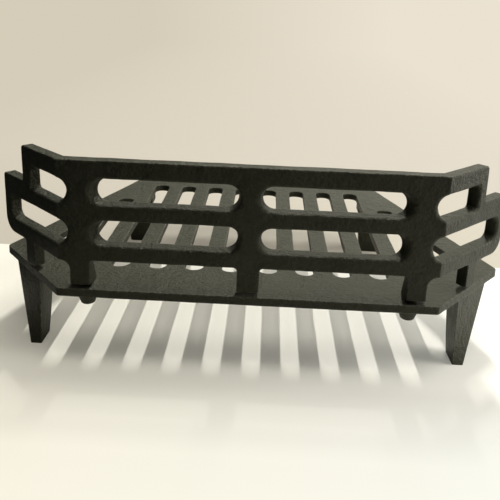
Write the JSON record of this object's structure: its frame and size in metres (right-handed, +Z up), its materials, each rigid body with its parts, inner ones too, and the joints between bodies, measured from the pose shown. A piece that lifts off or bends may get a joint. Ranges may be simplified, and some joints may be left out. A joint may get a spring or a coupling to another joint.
{
  "type": "fireplace log grate",
  "caption": "Cast-iron log grate: flat slotted bed with clipped corners on angle legs, with a lift-out pierced front fret whose stepped wings sweep back.",
  "frame": {"origin": "on the floor, at the middle of the grate's footprint: the feet stand at z = 0", "axes": "+Z up, +X to the right as seen from the front, -Y towards the front, where the fret stands"},
  "size_m": [0.4048, 0.285, 0.1564],
  "materials": {
    "cast_iron": "satin black paint on sand-cast iron",
    "screw_steel": "blackened steel"
  },
  "bodies": {
    "frame": {"bed": "cast_iron", "front_leg_left": "cast_iron", "front_leg_right": "cast_iron", "rear_leg_left": "cast_iron", "rear_leg_right": "cast_iron", "front_screw_left": "screw_steel", "front_screw_right": "screw_steel", "rear_screw_left": "screw_steel", "rear_screw_right": "screw_steel", "front_washer_left": "screw_steel", "front_washer_right": "screw_steel", "rear_washer_left": "screw_steel", "rear_washer_right": "screw_steel"},
    "fret": {"front_fret": "cast_iron"}
  },
  "joints": [
    {"name": "fret_lift", "type": "slide", "parent": "frame", "child": "fret", "axis": [0, 0, 1], "range_m": [0, 0.06]}
  ]
}
